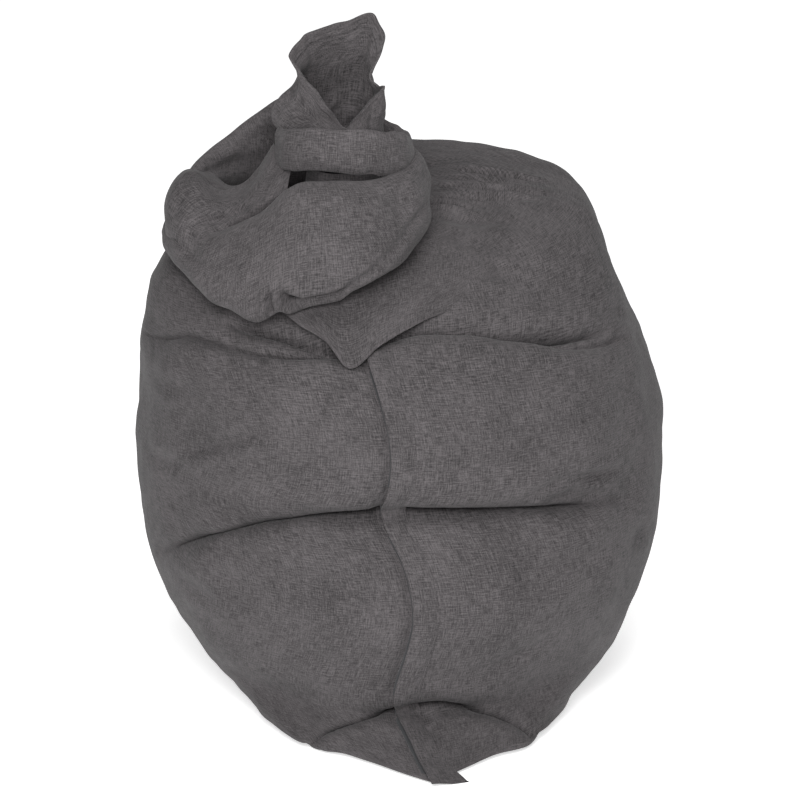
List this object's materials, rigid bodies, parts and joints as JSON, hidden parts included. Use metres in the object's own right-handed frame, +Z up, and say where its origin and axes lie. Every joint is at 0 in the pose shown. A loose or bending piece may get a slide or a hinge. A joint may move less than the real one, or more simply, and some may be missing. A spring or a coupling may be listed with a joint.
{
  "type": "bean bag chair",
  "caption": "Knotted sack bean bag chair in woven cloth, side seam with a covered zip to the front, long neck tied in a knot on top, zipped inner liner and bead fill.",
  "frame": {"origin": "on the floor, under the middle of the sack", "axes": "+Z up, -Y towards the front seam, +X to the right seen from the front"},
  "size_m": [0.8999, 1.1234, 1.2276],
  "materials": {
    "cover_cloth": "woven melange",
    "zip_tape": "woven",
    "zip_coil": "satin",
    "zip_metal": "gunmetal",
    "label_cloth": "smooth woven",
    "liner_cloth": "plain",
    "liner_tape": "woven",
    "liner_coil": "satin",
    "liner_metal": "satin",
    "bead_fill": "foam beads"
  },
  "bodies": {
    "sack": {"cover_left_panel": "cover_cloth", "cover_right_panel": "cover_cloth", "zip_fly": "cover_cloth", "neck_root": "cover_cloth", "knot_loop": "cover_cloth", "knot_band": "cover_cloth", "neck_tail": "cover_cloth", "tail_hem": "cover_cloth", "zip_tape_left": "zip_tape", "zip_tape_right": "zip_tape", "zip_coil_left": "zip_coil", "zip_coil_right": "zip_coil", "zip_bottom_stop": "zip_metal", "zip_top_stop": "zip_metal", "care_label": "label_cloth", "liner_left_panel": "liner_cloth", "liner_right_panel": "liner_cloth", "liner_zip_tape_left": "liner_tape", "liner_zip_tape_right": "liner_tape", "liner_zip_coil": "liner_coil", "bead_fill": "bead_fill"},
    "slider": {"zip_slider": "zip_metal"},
    "pull": {"zip_pull": "zip_metal"},
    "fly_end": {"zip_fly_end": "cover_cloth"},
    "liner_slider": {"liner_zip_slider": "liner_metal"}
  },
  "joints": [
    {"name": "zip_slide", "type": "slide", "parent": "sack", "child": "slider", "axis": [-0.2731, 0.8948, 0.3532], "range_m": [0, 0.125]},
    {"name": "zip_pull_swing", "type": "hinge", "parent": "slider", "child": "pull", "pos_m": [0.05092, -0.5368, 0.01503], "axis": [-0.9564, -0.292, 0], "range_deg": [0, 80]},
    {"name": "fly_end_lift", "type": "hinge", "parent": "sack", "child": "fly_end", "pos_m": [0.06455, -0.47526, 0.03813], "axis": [-0.2675, 0.8764, 0.4004], "range_deg": [0, 110]},
    {"name": "liner_zip_slide", "type": "slide", "parent": "sack", "child": "liner_slider", "axis": [-0.2731, 0.8948, 0.3532], "range_m": [0, 0.11]}
  ],
  "couplings": [
    {"joint": "zip_pull_swing", "follows": "fly_end_lift", "ratio": 0.72727}
  ]
}
